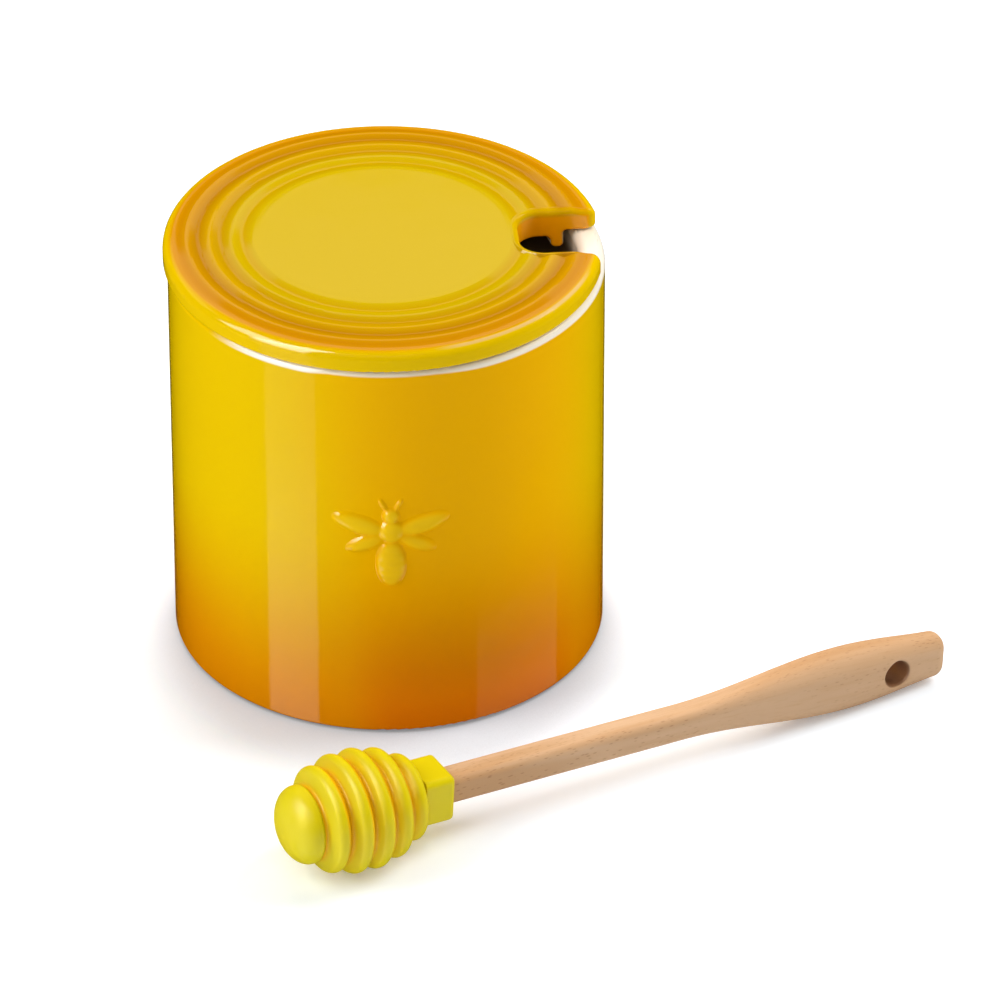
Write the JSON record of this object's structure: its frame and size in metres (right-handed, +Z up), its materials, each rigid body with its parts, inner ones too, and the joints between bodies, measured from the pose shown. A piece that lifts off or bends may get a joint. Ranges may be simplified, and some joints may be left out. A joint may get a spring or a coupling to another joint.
{
  "type": "honey pot with dipper",
  "caption": "Cylindrical glazed stoneware honey pot with a lift-off notched lid and a honey dipper with a ribbed silicone head on a wooden handle.",
  "frame": {"origin": "centre of the pot's foot on the table", "axes": "+Z up, the front of the pot faces -Y, the notch of the lid opens towards +X"},
  "size_m": [0.1795, 0.1653, 0.1038],
  "materials": {
    "pot_glaze": "glossy coloured glaze shading from yellow at the rim to orange at the foot, white glaze inside",
    "lid_glaze": "glossy yellow glaze with an orange outer band",
    "silicone": "satin yellow silicone",
    "beech": "pale sanded beech"
  },
  "bodies": {
    "pot": {"pot": "pot_glaze"},
    "lid": {"lid": "lid_glaze"},
    "dipper": {"dipper_handle": "beech"},
    "head": {"dipper_head": "silicone"}
  },
  "joints": [
    {"name": "lid_lift", "type": "slide", "parent": "pot", "child": "lid", "axis": [0, 0, 1], "range_m": [0, 0.12]},
    {"name": "dipper_lift", "type": "slide", "parent": "pot", "child": "dipper", "axis": [0, 0, 1], "range_m": [0, 0.12]},
    {"name": "head_pull", "type": "slide", "parent": "dipper", "child": "head", "axis": [-0.8753, -0.4812, 0.0487], "range_m": [0, 0.032]}
  ]
}
